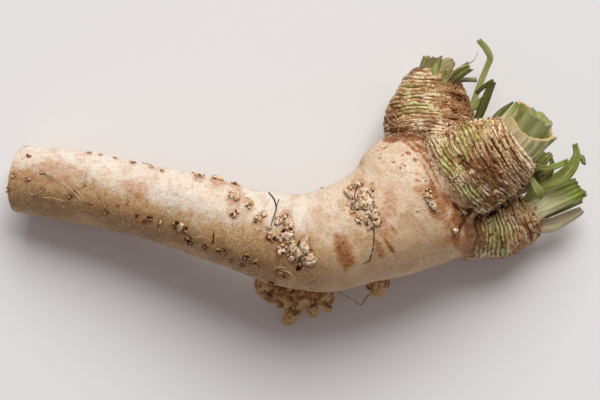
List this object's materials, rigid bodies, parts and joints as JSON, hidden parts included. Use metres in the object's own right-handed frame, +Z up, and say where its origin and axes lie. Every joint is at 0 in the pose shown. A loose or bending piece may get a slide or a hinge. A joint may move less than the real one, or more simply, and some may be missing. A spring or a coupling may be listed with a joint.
{
  "type": "horseradish root",
  "caption": "Whole horseradish taproot lying on its side, trimmed square at the thin end and branching into ringed heads with cut leaf stalks.",
  "frame": {"origin": "on the plane the root lies on, under the middle of its bounding box", "axes": "+X from the cut thin end to the heads, +Z up from the surface it lies on, +Y to the side the first head points to"},
  "size_m": [0.2895, 0.1447, 0.0686],
  "materials": {
    "root_skin": "satin, fine cross wrinkles and brown specks",
    "crown_scales": "matte, ragged ringed leaf scars",
    "stalk_green": "satin, ribbed lengthwise",
    "stalk_pale_green": "satin, ribbed lengthwise",
    "stalk_dark_green": "satin, ribbed lengthwise",
    "stalk_olive": "matte, part dried",
    "side_root_bark": "matte, corky",
    "rootlet_fibre": "matte, thread-like"
  },
  "bodies": {
    "root": {"taproot_and_crown": "root_skin", "leaf_stalk_a1": "stalk_olive", "leaf_stalk_a2": "stalk_olive", "leaf_stalk_a3": "stalk_dark_green", "leaf_stalk_a4": "stalk_dark_green", "leaf_stalk_a5": "stalk_green", "leaf_stalk_a6": "stalk_green", "leaf_stalk_a7": "stalk_dark_green", "leaf_stalk_a8": "stalk_green", "leaf_stalk_b1": "stalk_dark_green", "leaf_stalk_c1": "stalk_pale_green", "leaf_stalk_c2": "stalk_green", "leaf_stalk_c3": "stalk_olive", "leaf_stalk_c4": "stalk_dark_green", "leaf_stalk_c5": "stalk_olive", "leaf_stalk_c6": "stalk_green", "leaf_stalk_c7": "stalk_olive", "leaf_sheath_b2": "stalk_pale_green", "side_root_stub_1": "side_root_bark", "side_root_stub_2": "side_root_bark", "side_root_stub_3": "side_root_bark", "side_root_stub_4": "side_root_bark", "side_root_stub_5": "side_root_bark", "rootlet_1": "rootlet_fibre", "rootlet_2": "rootlet_fibre", "rootlet_3": "rootlet_fibre", "rootlet_4": "rootlet_fibre", "rootlet_5": "rootlet_fibre", "rootlet_6": "rootlet_fibre"}
  },
  "joints": []
}
